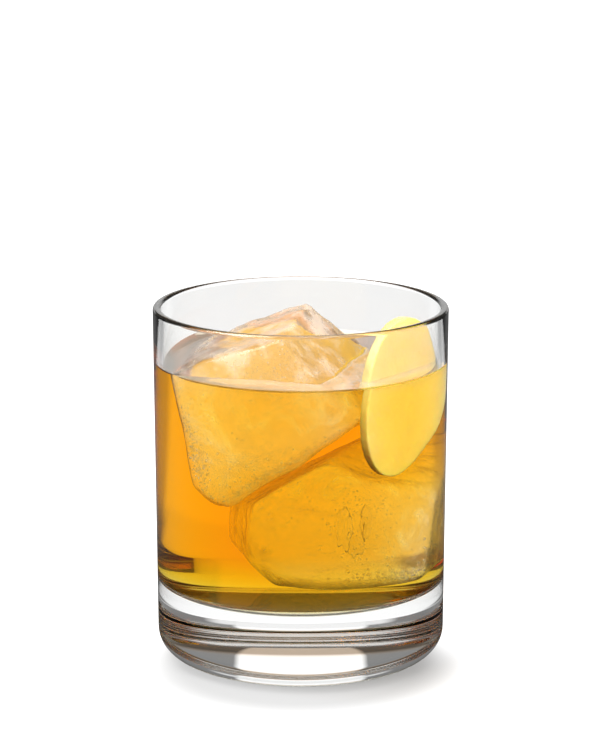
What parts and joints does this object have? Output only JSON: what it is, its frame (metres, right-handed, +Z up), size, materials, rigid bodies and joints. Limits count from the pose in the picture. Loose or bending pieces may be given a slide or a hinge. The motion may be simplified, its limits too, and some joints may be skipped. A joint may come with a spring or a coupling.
{
  "type": "penicillin cocktail in a tumbler",
  "caption": "Short heavy-based glass tumbler of amber cocktail with a large clear ice block and an oval slice of ginger standing against the wall.",
  "frame": {"origin": "centre of the tumbler's underside", "axes": "+Z up along the tumbler's axis, -Y towards the front, where the ginger stands front right"},
  "size_m": [0.085, 0.085, 0.103],
  "materials": {
    "clear_glass": "clear, polished, colourless",
    "amber_drink": "clear amber liquid, slightly cloudy",
    "clear_ice": "clear ice, frosted in patches, wet",
    "fresh_ginger": "moist fibrous root flesh with a thin brown peel"
  },
  "bodies": {
    "root": {"glass": "clear_glass", "drink": "amber_drink", "ice_block": "clear_ice", "ginger_slice": "fresh_ginger"}
  },
  "joints": []
}
